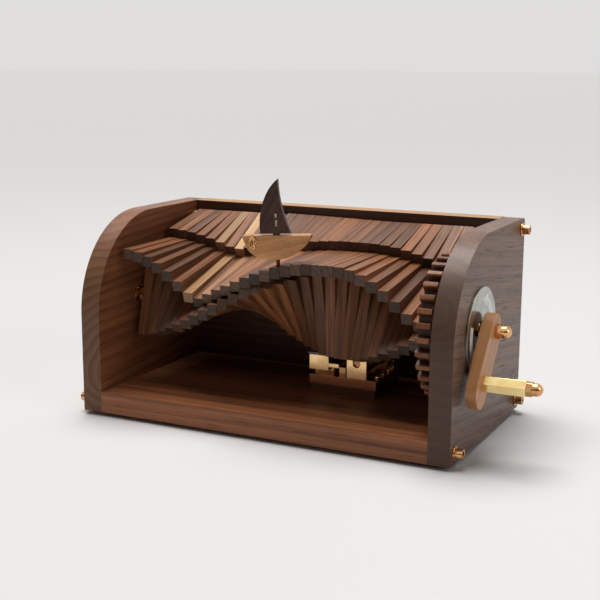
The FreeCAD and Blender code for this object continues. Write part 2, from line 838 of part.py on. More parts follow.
def arm_body():
    """A flat arm with round ends, drawn along its own length."""
    half = size("arm_width") / 2
    span = size("arm_span")
    body, sketch = body_with_sketch("arm_blank", "YZ_Plane")
    sketch.addGeometry(
        [
            line(0, -half, span, -half),
            round_arc(span, 0, half, -90, 90),
            line(span, half, 0, half),
            round_arc(0, 0, half, 90, 270),
        ]
    )
    for first, second in ((0, 1), (1, 2), (2, 3), (3, 0)):
        sketch.addConstraint(Sketcher.Constraint("Tangent", first, 2, second, 1))
    sketch.addConstraint(Sketcher.Constraint("Coincident", 3, 3, -1, 1))
    sketch.addConstraint(Sketcher.Constraint("Horizontal", 0))
    dimension(sketch, "DistanceX", "arm_span", 3, 3, 1, 3)
    dimension(sketch, "Radius", "arm_half_width", 3)
    base = pad(body, sketch, "arm_thickness")
    document.recompute()
    sides = []
    for number, face in enumerate(base.Shape.Faces, 1):
        if abs(face.normalAt(0, 0).x) > 0.99:
            sides.append("Face%d" % number)
    rounding = body.newObject("PartDesign::Fillet", "arm_rounding")
    rounding.Base = (base, sides)
    rounding.setExpression("Radius", qualified("arm_edge_round"))
    body.Tip = rounding
    body.Placement = Placement(Vector(), Rotation(AXIS_X, size("arm_angle")))
    return bind(body, x="arm_x", y="shaft_y", z="shaft_z")


arm_shaft_hole = rod("arm_shaft_hole", shaft_hole, "arm_thickness", "arm_x", "shaft_y", "shaft_z")
handle_hole = "handle_screw_radius + small_gap"
arm_handle_hole = rod("arm_handle_hole", handle_hole, "arm_thickness", "arm_x", "handle_y", "handle_z")
node("crank_arm", cut("crank_arm", arm_body(), arm_shaft_hole, arm_handle_hole))

arm_nut = hex_nut(
    "arm_nut", "arm_x - thin_nut_height", "shaft_y", "shaft_z", "thin_nut_height", shaft_hole
)
shaft_cap = cap_nut("shaft_cap", "arm_out", "shaft_y", "shaft_z", shaft_hole)
node("crank_nuts", group("crank_nuts", [arm_nut, shaft_cap]))

screw_head = rod(
    "handle_screw_head", "handle_screw_head_radius", "handle_screw_head_height",
    "arm_x - handle_screw_head_height", "handle_y", "handle_z",
)
screw_shank = rod(
    "handle_screw_shank", "handle_screw_radius", "arm_thickness + handle_length + cap_height / 2",
    "arm_x", "handle_y", "handle_z",
)
node("handle_screw", fuse("handle_screw", screw_head, screw_shank))
# The front corner of the handle is turned up a little
spacer_bar = prism(
    "handle_bar", "handle_flats", "handle_length", "arm_out", "handle_y", "handle_z",
    FRONT_CORNER - HANDLE_RISE,
)
bar_hole = rod("handle_bar_hole", handle_hole, "handle_length", "arm_out", "handle_y", "handle_z")
node("handle_spacer", cut("handle_spacer", spacer_bar, bar_hole))
node("handle_cap_nut", cap_nut("handle_cap_nut", "cap_x", "handle_y", "handle_z", handle_hole))

# Music movement
riser = box(
    "riser_block", "bed_length - 2 * riser_inset", "bed_depth - 2 * riser_inset", "riser_height",
    "bed_x + riser_inset", "bed_front + riser_inset", "floor_z",
)


def bed_screw_y(index):
    return "bed_front + bed_screw_start + %d * bed_screw_pitch" % index


bed_screw_x = "bed_x + bed_length - bed_screw_inset"
slab = box("bed_slab", "bed_length", "bed_depth", "bed_thickness", "bed_x", "bed_front", "riser_top")
bearing_x = "cylinder_mid_x - bearing_width / 2"
bearing_height = "cylinder_z + bearing_top - bed_top"
front_bearing = box("front_bearing", "bearing_width", "bearing_thickness", bearing_height,
                    bearing_x, "bed_front", "bed_top")
rear_bearing = box("rear_bearing", "bearing_width", "bearing_thickness", bearing_height,
                   bearing_x, "rear_bearing_y", "bed_top")
block_depth = "cylinder_start + cylinder_length - bed_front"
comb_block = box("comb_block", "comb_block_width", block_depth, "comb_block_height",
                 "bed_x", "bed_front", "bed_top")
comb_ledge = box("comb_ledge", "comb_ledge_width", block_depth, "comb_ledge_thickness",
                 "bed_x + comb_block_width", "bed_front",
                 "comb_z - comb_ledge_drop - comb_ledge_thickness")
bed_post = box("bed_post", "post_width", "post_depth", "post_height",
               "bed_x + post_left", "bed_front + post_inset", "bed_top")
bracket_height = "worm_z + bracket_top - bed_top"
bracket_y = "wheel_mid_y - bracket_width / 2"
right_bracket_x = "bed_x + bed_length - bracket_thickness"
left_bracket_x = "cylinder_mid_x - worm_length / 2 - worm_end_gap - bracket_thickness"
right_bracket = box("right_bracket", "bracket_thickness", "bracket_width", bracket_height,
                    right_bracket_x, bracket_y, "bed_top")
left_bracket = box("left_bracket", "bracket_thickness", "bracket_width", bracket_height,
                   left_bracket_x, bracket_y, "bed_top")
bed_solid = fuse(
    "bed_solid", slab, front_bearing, rear_bearing, comb_block, comb_ledge, bed_post,
    right_bracket, left_bracket,
)

slot_radius = "arbor_radius + running_gap"
bed_tools = [
    rod("arbor_seat", slot_radius, "bed_depth", "cylinder_mid_x", "bed_front", "cylinder_z", "y"),
    box("arbor_slot", "2 * (%s)" % slot_radius, "bed_depth", "bearing_top",
        "cylinder_mid_x - (%s)" % slot_radius, "bed_front", "cylinder_z"),
    box("comb_undercut", "comb_block_width", "comb_block_lip", "comb_block_foot",
        "bed_x", "bed_front", "bed_top"),
    rod("worm_bore", "worm_shaft_radius + running_gap", "bed_length", "bed_x", "wheel_mid_y", "worm_z"),
]
screw_hole = "comb_screw_radius + small_gap"
comb_screw_x = "bed_x + comb_block_width / 2"
comb_drills = []
movement_screws = []


def small_screw(name, x, y, seat_z, depth):
    """A round-headed screw standing on its seat."""
    head = rod(name + "_head", "comb_screw_head_radius", "comb_screw_head_height", x, y, seat_z, "z")
    shank = rod(name + "_shank", "comb_screw_radius", depth, x, y, "%s - (%s)" % (seat_z, depth), "z")
    return fuse(name, head, shank)


def drill_down(name, x, y, seat_z, depth):
    length = "%s + small_gap" % depth
    return rod(name, screw_hole, length, x, y, "%s - (%s)" % (seat_z, length), "z")


comb_seat = "comb_z + comb_thickness"
comb_depth = "comb_thickness + comb_screw_depth"
for index in range(int(size("comb_screw_count"))):
    y = "bed_front + comb_screw_start + %d * comb_screw_pitch" % index
    bed_tools.append(drill_down("comb_drill_%d" % index, comb_screw_x, y, comb_seat, comb_depth))
    comb_drills.append(drill_down("comb_plate_drill_%d" % index, comb_screw_x, y, comb_seat, comb_depth))
    movement_screws.append(small_screw("comb_screw_%d" % index, comb_screw_x, y, comb_seat, comb_depth))

riser_drills = []
base_drills = []
for index in range(int(size("bed_screw_count"))):
    y = bed_screw_y(index)
    bed_tools.append(drill_down("bed_drill_%d" % index, bed_screw_x, y, "bed_top", "bed_screw_depth"))
    riser_drills.append(drill_down("riser_drill_%d" % index, bed_screw_x, y, "bed_top", "bed_screw_depth"))
    base_drills.append(drill_down("floor_drill_%d" % index, bed_screw_x, y, "bed_top", "bed_screw_depth"))
    movement_screws.append(small_screw("bed_screw_%d" % index, bed_screw_x, y, "bed_top", "bed_screw_depth"))
node("bedplate", cut("bedplate", bed_solid, *bed_tools))
node("movement_riser", cut("movement_riser", riser, *riser_drills))
node("movement_screws", group("movement_screws", movement_screws))

bottom_board = box(
    "bottom_board", "inner_width", "case_depth - board", "board", "left_in", "front_y", "foot_height"
)
node("base_board", cut("base_board", bottom_board, *screw_drills("base_drill"), *base_drills))

comb_back_x = "bed_x - comb_overhang"
comb_base = box("comb_base", "comb_block_width + comb_overhang", block_depth, "comb_thickness",
                comb_back_x, "bed_front", "comb_z")
comb_reach = box("comb_reach", "comb_tip_x - bed_x - comb_block_width", "cylinder_length", "comb_thickness",
                 "bed_x + comb_block_width", "cylinder_start", "comb_z")
slits = []
for index in range(1, int(size("comb_teeth"))):
    y = "cylinder_start + %d * cylinder_length / comb_teeth - comb_slit / 2" % index
    slits.append(box("comb_slit_%02d" % index, "comb_tooth_length", "comb_slit", "comb_thickness",
                     "comb_tip_x - comb_tooth_length", y, "comb_z"))
node("comb", cut("comb", fuse("comb_plate", comb_base, comb_reach), *slits, *comb_drills))


def wheel_face():
    """The worm wheel's outline, with plain pointed teeth."""
    tip = size("wheel_tip_radius")
    root = tip - size("wheel_tooth_depth")
    teeth = int(size("wheel_teeth"))
    points = []
    for number in range(2 * teeth):
        radius = tip if number % 2 else root
        angle = math.pi * number / teeth
        points.append(Vector(radius * math.cos(angle), 0, radius * math.sin(angle)))
    return Part.Face(Part.makePolygon(points + points[:1]))


wheel_outline = document.addObject("Part::Feature", "wheel_outline")
wheel_outline.Shape = wheel_face()
wheel = document.addObject("Part::Extrusion", "wheel")
wheel.Base = wheel_outline
wheel.DirMode = "Custom"
wheel.Dir = Vector(0, 1, 0)
wheel.Solid = True
wheel.setExpression("LengthFwd", qualified("wheel_width"))
bind(wheel, x="cylinder_mid_x", y="wheel_start", z="cylinder_z")
drum = rod(
    "drum", "cylinder_radius", "cylinder_length", "cylinder_mid_x", "cylinder_start", "cylinder_z", "y"
)
arbor_start = "bed_front + arbor_recess"
arbor_length = "rear_bearing_y + bearing_thickness - (%s)" % arbor_start
arbor = rod("arbor", "arbor_radius", arbor_length, "cylinder_mid_x", arbor_start, "cylinder_z", "y")
node("note_cylinder", fuse("note_cylinder", drum, wheel, arbor))

worm_shaft_start = left_bracket_x
worm_shaft_length = "right_in + worm_shaft_seat - (%s)" % worm_shaft_start
worm_rod = rod("worm_rod", "worm_shaft_radius", worm_shaft_length, worm_shaft_start, "wheel_mid_y", "worm_z")
worm = rod("worm", "worm_radius", "worm_length", "cylinder_mid_x - worm_length / 2", "wheel_mid_y", "worm_z")
node("worm_shaft", fuse("worm_shaft", worm_rod, worm))

# Boat on its peg
boat_lever = int(size("boat_lever"))
on_lever = Placement(
    Vector(size("row_x") + boat_lever * size("stick_pitch"), size("pivot_y"), size("pivot_z")),
    Rotation(AXIS_X, lever_slope(boat_lever)),
)


def on_boat(x, y, z, rotation=Rotation()):
    """A place measured from the hull's lowest point on the peg."""
    return on_lever * peg_foot * Placement(Vector(x, y, z + size("peg_show")), rotation)


def boat_rod(name, radius, length, z):
    item = document.addObject("Part::Cylinder", name)
    bind(item, Radius=radius, Height=length)
    item.Placement = on_boat(0, 0, z)
    return item


def boat_box(name, length, width, height, z):
    """A block centred on the mast."""
    item = document.addObject("Part::Box", name)
    bind(item, Length=length, Width=width, Height=height)
    document.recompute()
    item.Placement = on_boat(-item.Length.Value / 2, -item.Width.Value / 2, z)
    return item


def join_ends(sketch, count):
    """Joins each edge to the next, whichever way round an arc is held."""
    for number in range(count):
        following = (number + 1) % count
        for own in (1, 2):
            for other in (1, 2):
                gap = sketch.getPoint(number, own) - sketch.getPoint(following, other)
                if gap.Length < SAME_PLACE:
                    sketch.addConstraint(Sketcher.Constraint("Coincident", number, own, following, other))


def boat_board(name, geometry, thickness, z):
    """A flat board facing the front, drawn from its foot on the mast."""
    body, sketch = body_with_sketch(name, "XZ_Plane")
    sketch.addGeometry(geometry)
    join_ends(sketch, len(geometry))
    pad(body, sketch, thickness)
    body.Placement = on_boat(0, size(thickness) / 2, z)
    return body


def hull_outline():
    """The hull from the front: a flat deck, a raked stern and a long round bow."""
    length = size("hull_length")
    height = size("hull_height")
    stern = (-0.478 * length, height)
    stern_foot = (-0.431 * length, 0.56 * height)
    stern_round = (-0.335 * length, 0.20 * height)
    keel = (-0.130 * length, 0.012 * height)
    bow_round = (0.230 * length, 0.150 * height)
    bow_foot = (0.491 * length, 0.90 * height)
    bow = (0.496 * length, height)
    return [
        line(*stern, *stern_foot),
        arc_through(*stern_foot, *stern_round, *keel),
        arc_through(*keel, *bow_round, *bow_foot),
        line(*bow_foot, *bow),
        line(*bow, *stern),
    ]


def sail_outline():
    """The sail from the front, full on the left and hollow on the right, with its foot below."""
    width = size("sail_width")
    height = size("sail_height")
    foot = size("sail_foot") / 2
    drop = size("sail_lift") + size("sail_tenon")
    left = (-0.512 * width, 0)
    belly = (-0.476 * width, 0.38 * height)
    shoulder = (-0.274 * width, 0.71 * height)
    neck = (-0.113 * width, 0.855 * height)
    peak = (0.135 * width, height)
    hollow = (0.210 * width, 0.51 * height)
    right = (0.479 * width, 0)
    return [
        arc_through(*left, *belly, *shoulder),
        arc_through(*shoulder, *neck, *peak),
        arc_through(*peak, *hollow, *right),
        line(*right, foot, 0),
        line(foot, 0, foot, -drop),
        line(foot, -drop, -foot, -drop),
        line(-foot, -drop, -foot, 0),
        line(-foot, 0, *left),
    ]


peg_length = "peg_depth + peg_show + hull_peg_depth"
node("boat_peg", boat_rod("boat_peg", "peg_radius", peg_length, -size("peg_show") - size("peg_depth")))
peg_hole = boat_rod("hull_peg_hole", "peg_radius + small_gap", "hull_peg_depth + small_gap + peg_show",
                    -size("peg_show"))
foot_slot = boat_box(
    "hull_foot_slot", "sail_foot + 2 * small_gap", "sail_thickness + 2 * small_gap",
    "sail_tenon + small_gap",
    size("hull_height") - size("sail_tenon") - size("small_gap"),
)
hull_board = boat_board("hull_board", hull_outline(), "hull_thickness", 0)
node("boat_hull", cut("boat_hull", hull_board, peg_hole, foot_slot))

sail_z = size("hull_height") + size("sail_lift")
sail_slots = []
for index in range(2):
    slot_z = sail_z + size("slot_start") + index * size("slot_pitch")
    sail_slots.append(
        boat_box("sail_slot_%d" % index, "slot_width", "2 * sail_thickness", "slot_height", slot_z)
    )
sail_board = boat_board("sail_board", sail_outline(), "sail_thickness", sail_z)
node("boat_sail", cut("boat_sail", sail_board, *sail_slots))

# Checks, then the files
document.recompute()
faults = []
for item in document.Objects:
    if "Invalid" in item.State or "Error" in item.State:
        faults.append("%s is %s" % (item.Name, item.State))
for item in nodes:
    if item.Shape.isNull() or not item.Shape.isValid():
        faults.append(item.Label + " has no valid shape")
    elif not item.Shape.Solids:
        faults.append(item.Label + " has no solid")
labels = [item.Label for item in nodes]
if len(set(labels)) != len(labels):
    faults.append("two pieces share a name")
if faults:
    raise RuntimeError("; ".join(faults))

os.makedirs("parts", exist_ok=True)
for item in nodes:
    item.Shape.exportStep("parts/%s.step" % item.Label)
    print(item.Label, len(item.Shape.Solids), "solids", round(item.Shape.Volume, 1), "mm3")

whole = Part.makeCompound([item.Shape for item in nodes]).BoundBox
print("box", whole)
print("nodes", len(nodes))
print("shaft", size("shaft_y"), size("shaft_z"), "pivot", size("pivot_y"), size("pivot_z"))
print("crank travel", size("crank_travel"))
turn_slopes = [resting_slope(angle, size("rest_gap")) for angle in range(360)]
print("slopes over a turn", round(min(turn_slopes), 4), round(max(turn_slopes), 4))
print("foot", size("left_out") + size("foot_inset"), size("front_y") + size("foot_inset"))
print("worm", size("wheel_mid_y"), size("worm_z"), "cylinder", size("cylinder_mid_x"), size("cylinder_z"))
for index in range(int(size("stick_count"))):
    print("lever", index + 1, "slope %.4f ratio %.6f" % (lever_slope(index), lever_ratio(index)))
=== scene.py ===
import json
import math

import bmesh
import bpy
import numpy as np
from mathutils import Matrix, Vector


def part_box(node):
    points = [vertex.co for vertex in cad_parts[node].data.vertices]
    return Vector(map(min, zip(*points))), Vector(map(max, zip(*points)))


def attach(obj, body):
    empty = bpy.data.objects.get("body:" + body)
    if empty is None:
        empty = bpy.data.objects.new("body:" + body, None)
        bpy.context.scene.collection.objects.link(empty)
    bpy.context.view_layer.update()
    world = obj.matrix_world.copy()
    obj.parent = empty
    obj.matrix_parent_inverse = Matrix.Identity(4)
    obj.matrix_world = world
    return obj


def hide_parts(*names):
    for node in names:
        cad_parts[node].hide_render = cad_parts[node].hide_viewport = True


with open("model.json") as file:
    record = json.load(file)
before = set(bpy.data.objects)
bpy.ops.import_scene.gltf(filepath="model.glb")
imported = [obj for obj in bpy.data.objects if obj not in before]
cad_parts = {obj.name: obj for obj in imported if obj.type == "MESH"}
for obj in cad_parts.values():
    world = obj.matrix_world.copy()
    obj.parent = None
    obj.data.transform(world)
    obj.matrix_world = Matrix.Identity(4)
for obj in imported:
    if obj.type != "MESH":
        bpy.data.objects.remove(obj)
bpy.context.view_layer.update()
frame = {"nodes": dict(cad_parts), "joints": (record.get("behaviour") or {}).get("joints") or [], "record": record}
bodyOf = {node: body for body, members in frame["record"]["behaviour"]["bodies"].items() for node in members}
jointOf = {joint["name"]: joint for joint in frame["joints"]}
millimetre = 0.001
luck = np.random.default_rng(29)
print("frame loaded:", len(frame["nodes"]), "nodes")


# Camera at the photograph's place, in the automaton's own frame
cameraPlace = {"spot": (0.26735, -0.5826, 0.197), "azimuth": 26.17, "elevation": 11.44, "roll": 0.24, "lens": 70.0}


def placeCamera(place):
    # looks along (-sin a cos e, cos a cos e, -sin e), then rolls about that line
    azimuth = math.radians(place["azimuth"])
    elevation = math.radians(place["elevation"])
    ahead = Vector((-math.sin(azimuth) * math.cos(elevation), math.cos(azimuth) * math.cos(elevation),
                    -math.sin(elevation)))
    data = bpy.data.cameras.new("photoCamera")
    data.lens = place["lens"]
    data.sensor_width = 36.0
    data.clip_start = 0.01
    camera = bpy.data.objects.new("photoCamera", data)
    bpy.context.scene.collection.objects.link(camera)
    camera.rotation_mode = "QUATERNION"
    camera.rotation_quaternion = (ahead.to_track_quat("-Z", "Y").to_matrix()
                                  @ Matrix.Rotation(math.radians(place["roll"]), 3, "Z")).to_quaternion()
    camera.location = place["spot"]
    bpy.context.scene.camera = camera


placeCamera(cameraPlace)


def paint(red, green, blue):
    # screen colour, 0 to 255, as the linear colour that a socket takes
    screen = np.array([red, green, blue]) / 255
    linear = np.where(screen <= 0.04045, screen / 12.92, ((screen + 0.055) / 1.055) ** 2.4)
    return (*[float(value) for value in linear], 1.0)


# Shared effects
def newGroup(name, inputs, outputs):
    group = bpy.data.node_groups.new(name, "ShaderNodeTree")
    for label, kind, value in inputs:
        socket = group.interface.new_socket(name=label, in_out="INPUT", socket_type="NodeSocket" + kind)
        if value is not None:
            socket.default_value = value
    for label, kind in outputs:
        group.interface.new_socket(name=label, in_out="OUTPUT", socket_type="NodeSocket" + kind)
    return group, group.nodes.new("NodeGroupInput"), group.nodes.new("NodeGroupOutput")


class Wiring:
    # short ways to add nodes to a tree and join them
    def __init__(self, tree):
        self.tree = tree

    def add(self, kind, **settings):
        node = self.tree.nodes.new("ShaderNode" + kind)
        for name, value in settings.items():
            setattr(node, name, value)
        return node

    def join(self, source, target):
        self.tree.links.new(source, target)

    def fill(self, socket, value):
        if hasattr(value, "is_linked"):
            self.join(value, socket)
        else:
            socket.default_value = value

    def sum(self, operation, first, second=0.0, third=None):
        node = self.add("Math", operation=operation)
        self.fill(node.inputs[0], first)
        self.fill(node.inputs[1], second)
        if third is not None:
            self.fill(node.inputs[2], third)
        return node.outputs[0]

    def vector(self, operation, first, second):
        node = self.add("VectorMath", operation=operation)
        self.fill(node.inputs[0], first)
        self.fill(node.inputs[1], second)
        return node.outputs[0]

    def blend(self, share, first, second, mode="MIX"):
        node = self.add("Mix", data_type="RGBA", blend_type=mode)
        self.fill(node.inputs[0], share)
        self.fill(node.inputs[6], first)
        self.fill(node.inputs[7], second)
        return node.outputs[2]

    def noise(self, place, scale, detail=3.0, rough=0.55, warp=0.0):
        node = self.add("TexNoise")
        self.fill(node.inputs["Vector"], place)
        node.inputs["Scale"].default_value = scale
        node.inputs["Detail"].default_value = detail
        node.inputs["Roughness"].default_value = rough
        node.inputs["Distortion"].default_value = warp
        return node.outputs["Fac"]

    def range(self, value, low, high, newLow=0.0, newHigh=1.0):
        node = self.add("MapRange", interpolation_type="SMOOTHSTEP")
        self.fill(node.inputs["Value"], value)
        for name, level in (("From Min", low), ("From Max", high), ("To Min", newLow), ("To Max", newHigh)):
            node.inputs[name].default_value = level
        return node.outputs["Result"]


def makeGrain():
    # a log's rings, fibres and pores: place is in metres with the fibres along its Y
    group, given, result = newGroup(
        "woodGrain",
        [("Place", "Vector", None), ("Tone", "Float", 0.5), ("End", "Float", 0.0), ("Pale", "Color", None),
         ("Dark", "Color", None), ("EndAndPaintedColour", "Color", None), ("RingWidth", "Float", 260.0),
         ("Pores", "Float", 0.5)],
        [("Colour", "Color"), ("Rough", "Float"), ("Height", "Float")],
    )
    wire = Wiring(group)
    place = given.outputs["Place"]
    drawn = wire.vector("MULTIPLY", place, (1.0, 0.045, 1.0))
    fine = wire.vector("MULTIPLY", place, (1.0, 0.02, 1.0))
    flow = wire.noise(drawn, 26.0, 2.0)
    # ring number: how far out from a leaning heart, bent by the slow noise
    split = wire.add("SeparateXYZ")
    wire.join(drawn, split.inputs[0])
    away = wire.sum("SQRT", wire.sum("ADD", wire.sum("POWER", wire.sum("ADD", split.outputs[0], 0.021), 2.0),
                                     wire.sum("POWER", wire.sum("ADD", split.outputs[2], 0.034), 2.0)))
    bent = wire.sum("MULTIPLY_ADD", flow, 0.020, away)
    turns = wire.sum("FRACT", wire.sum("MULTIPLY", bent, given.outputs["RingWidth"]))
    late = wire.range(turns, 0.25, 0.98)
    fibre = wire.noise(fine, 900.0, 2.0, 0.6)
    broad = wire.noise(drawn, 70.0, 3.0)
    pores = wire.range(wire.noise(fine, 2600.0, 1.0, 0.4), 0.60, 0.74)
    pores = wire.sum("MULTIPLY", pores, given.outputs["Pores"])
    shade = wire.sum("ADD", wire.sum("MULTIPLY", late, 0.34), wire.sum("MULTIPLY", wire.range(fibre, 0.3, 0.7), 0.24))
    shade = wire.sum("ADD", shade, wire.sum("MULTIPLY", wire.range(broad, 0.3, 0.7), 0.42))
    colour = wire.blend(shade, given.outputs["Pale"], given.outputs["Dark"])
    level = wire.sum("MULTIPLY_ADD", given.outputs["Tone"], 1.1, 0.42)
    toned = wire.blend(1.0, colour, level, "MULTIPLY")
    porous = wire.blend(pores, toned, wire.blend(0.78, toned, (0.012, 0.006, 0.004, 1.0)))
    # end grain: no long fibres, only rings and dots; painted light and painted shade given through the same share take
    # this colour too
    dots = wire.noise(place, 1900.0, 2.0, 0.6)
    cutShade = wire.sum("ADD", wire.sum("MULTIPLY", wire.range(dots, 0.35, 0.68), 0.45),
                        wire.sum("MULTIPLY", late, 0.55))
    cut = wire.blend(wire.sum("MULTIPLY", cutShade, 0.8), given.outputs["EndAndPaintedColour"], given.outputs["Dark"])
    cut = wire.blend(1.0, cut, level, "MULTIPLY")
    final = wire.blend(given.outputs["End"], porous, cut)
    wire.join(final, result.inputs["Colour"])
    wire.join(wire.range(wire.sum("ADD", fibre, pores), 0.3, 1.5, 0.40, 0.66), result.inputs["Rough"])
    relief = wire.sum("SUBTRACT", wire.sum("MULTIPLY", fibre, 0.35), pores)
    wire.join(wire.sum("ADD", relief, wire.sum("MULTIPLY", dots, given.outputs["End"])), result.inputs["Height"])
    return group


def makeWear():
    # smears and fine lines in a polished metal
    group, given, result = newGroup(
        "metalWear",
        [("Clean", "Color", None), ("Dull", "Color", None), ("Low", "Float", 0.12), ("High", "Float", 0.3)],
        [("Colour", "Color"), ("Rough", "Float"), ("Height", "Float")],
    )
    wire = Wiring(group)
    place = wire.add("TexCoord").outputs["Object"]
    smear = wire.range(wire.noise(place, 150.0, 3.0, 0.5, 0.2), 0.30, 0.75)
    lines = wire.noise(wire.vector("MULTIPLY", place, (12.0, 1.0, 1.0)), 1500.0, 2.0)
    wire.join(wire.blend(smear, given.outputs["Clean"], given.outputs["Dull"]), result.inputs["Colour"])
    share = wire.sum("MULTIPLY_ADD", lines, 0.4, wire.sum("MULTIPLY", smear, 0.6))
    spread = wire.sum("SUBTRACT", given.outputs["High"], given.outputs["Low"])
    wire.join(wire.sum("MULTIPLY_ADD", share, spread, given.outputs["Low"]), result.inputs["Rough"])
    wire.join(lines, result.inputs["Height"])
    return group


grainGroup = makeGrain()
wearGroup = makeWear()


def newMaterial(name, metallic=0.0, coat=0.0):
    material = bpy.data.materials.new(name)
    material.use_nodes = True
    tree = material.node_tree
    shader = tree.nodes["Principled BSDF"]
    shader.inputs["Metallic"].default_value = metallic
    shader.inputs["Coat Weight"].default_value = coat
    shader.inputs["Coat Roughness"].default_value = 0.25
    shader.inputs["Specular IOR Level"].default_value = 0.5 if metallic else 0.28
    return material, Wiring(tree), shader


def reliefInto(wire, shader, height, depth):
    bump = wire.add("Bump")
    bump.inputs["Strength"].default_value = 0.5
    bump.inputs["Distance"].default_value = depth
    wire.join(height, bump.inputs["Height"])
    wire.join(bump.outputs["Normal"], shader.inputs["Normal"])


def woodMaterial(name, look):
    material, wire, shader = newMaterial(name, coat=look.get("coat", 0.0))
    grain = wire.add("Group")
    grain.node_tree = grainGroup
    for attribute, socket in (("grainPlace", "Place"), ("tone", "Tone"), ("cutEnd", "End")):
        node = wire.add("Attribute", attribute_name=attribute)
        wire.join(node.outputs["Vector" if socket == "Place" else "Fac"], grain.inputs[socket])
    grain.inputs["Pale"].default_value = paint(*look["pale"])
    grain.inputs["Dark"].default_value = paint(*look["dark"])
    grain.inputs["EndAndPaintedColour"].default_value = paint(*look["cut"])
    grain.inputs["RingWidth"].default_value = look["rings"]
    grain.inputs["Pores"].default_value = look["pores"]
    wire.join(grain.outputs["Colour"], shader.inputs["Base Color"])
    wire.join(grain.outputs["Rough"], shader.inputs["Roughness"])
    reliefInto(wire, shader, grain.outputs["Height"], 0.00006)
    return material


def metalMaterial(name, look):
    material, wire, shader = newMaterial(name, metallic=1.0)
    wear = wire.add("Group")
    wear.node_tree = wearGroup
    wear.inputs["Clean"].default_value = paint(*look["clean"])
    wear.inputs["Dull"].default_value = paint(*look["dull"])
    wear.inputs["Low"].default_value = look["low"]
    wear.inputs["High"].default_value = look["high"]
    wire.join(wear.outputs["Colour"], shader.inputs["Base Color"])
    wire.join(wear.outputs["Rough"], shader.inputs["Roughness"])
    reliefInto(wire, shader, wear.outputs["Height"], 0.000006)
    return material


woodLooks = {
    "caseWalnut": {"pale": (150, 94, 60), "dark": (76, 42, 27), "cut": (122, 86, 58), "rings": 210.0, "pores": 0.75,
                   "coat": 0.06},
    # painted sheen: this grey stands for a window's reflection on the right panel's outer face and front edge
    "walnutPaintedSheen": {"pale": (126, 92, 72), "dark": (74, 52, 42), "cut": (88, 64, 50), "rings": 160.0, "pores": 0.9,
                   "coat": 0.10},
    # its end colour is painted light for the pale top edge of the back panel, lit from above
    "backWalnut": {"pale": (104, 62, 40), "dark": (54, 30, 20), "cut": (204, 152, 98), "rings": 210.0, "pores": 0.7},
    "stickWalnut": {"pale": (162, 104, 64), "dark": (62, 34, 22), "cut": (88, 68, 54), "rings": 340.0, "pores": 0.9},
    "streakWalnut": {"pale": (194, 142, 98), "dark": (92, 52, 33), "cut": (104, 82, 66), "rings": 420.0, "pores": 0.8},
    "blondWood": {"pale": (210, 168, 122), "dark": (166, 122, 82), "cut": (146, 114, 86), "rings": 300.0,
                  "pores": 0.3},
    # its end colour is saw burn, darkened further by painted shade in the tooth gaps
    "gearWalnut": {"pale": (158, 98, 62), "dark": (86, 48, 30), "cut": (54, 31, 22), "rings": 260.0, "pores": 0.7},
    "cherryWood": {"pale": (208, 152, 98), "dark": (160, 104, 62), "cut": (168, 118, 76), "rings": 190.0,
                   "pores": 0.35, "coat": 0.1},
    "sailWalnut": {"pale": (88, 53, 37), "dark": (40, 23, 17), "cut": (40, 24, 18), "rings": 520.0, "pores": 0.9},
    "pegWood": {"pale": (112, 64, 42), "dark": (68, 35, 23), "cut": (60, 34, 24), "rings": 600.0, "pores": 0.6},
}
metalLooks = {
    "polishedBrass": {"clean": (228, 176, 122), "dull": (186, 132, 86), "low": 0.08, "high": 0.18},
    "creamBrass": {"clean": (255, 232, 172), "dull": (244, 212, 144), "low": 0.12, "high": 0.20},
    "goldBrass": {"clean": (250, 216, 160), "dull": (230, 188, 132), "low": 0.14, "high": 0.28},
    "roseBrass": {"clean": (188, 134, 98), "dull": (160, 108, 76), "low": 0.16, "high": 0.30},
    "darkScrew": {"clean": (132, 88, 58), "dull": (92, 58, 38), "low": 0.22, "high": 0.36},
    "movementSteel": {"clean": (112, 100, 90), "dull": (72, 64, 58), "low": 0.25, "high": 0.45},
    "discMetal": {"clean": (166, 168, 160), "dull": (148, 150, 142), "low": 0.16, "high": 0.26},
}
material = {name: woodMaterial(name, look) for name, look in woodLooks.items()}
material.update({name: metalMaterial(name, look) for name, look in metalLooks.items()})


def makeFootRubber():
    made, wire, shader = newMaterial("footRubber")
    place = wire.add("TexCoord").outputs["Object"]
    speck = wire.noise(place, 1500.0, 3.0)
    wire.join(wire.blend(wire.range(speck, 0.35, 0.7), paint(26, 22, 20), paint(48, 42, 38)),
              shader.inputs["Base Color"])
    wire.join(wire.range(speck, 0.3, 0.7, 0.7, 0.9), shader.inputs["Roughness"])
    reliefInto(wire, shader, speck, 0.00004)
    return made


def makeArrowInk():
    made, wire, shader = newMaterial("arrowInk", coat=0.4)
    place = wire.add("TexCoord").outputs["Object"]
    cloud = wire.noise(place, 260.0, 3.0)
    wire.join(wire.blend(wire.range(cloud, 0.35, 0.7), paint(236, 236, 232), paint(218, 219, 214)),
              shader.inputs["Base Color"])
    wire.join(wire.range(cloud, 0.3, 0.7, 0.28, 0.4), shader.inputs["Roughness"])
    return made


material["footRubber"] = makeFootRubber()
material["arrowInk"] = makeArrowInk()
print("materials made:", len(material))


# Copies of the frame's nodes with softened edges and a grain of their own
def mergedCopy(nodeName):
    source = frame["nodes"][nodeName].data
    mesh = bmesh.new()
    mesh.from_mesh(source)
    bmesh.ops.remove_doubles(mesh, verts=mesh.verts, dist=2e-6)
    bmesh.ops.dissolve_limit(mesh, angle_limit=math.radians(0.4), verts=mesh.verts, edges=mesh.edges)
    return mesh


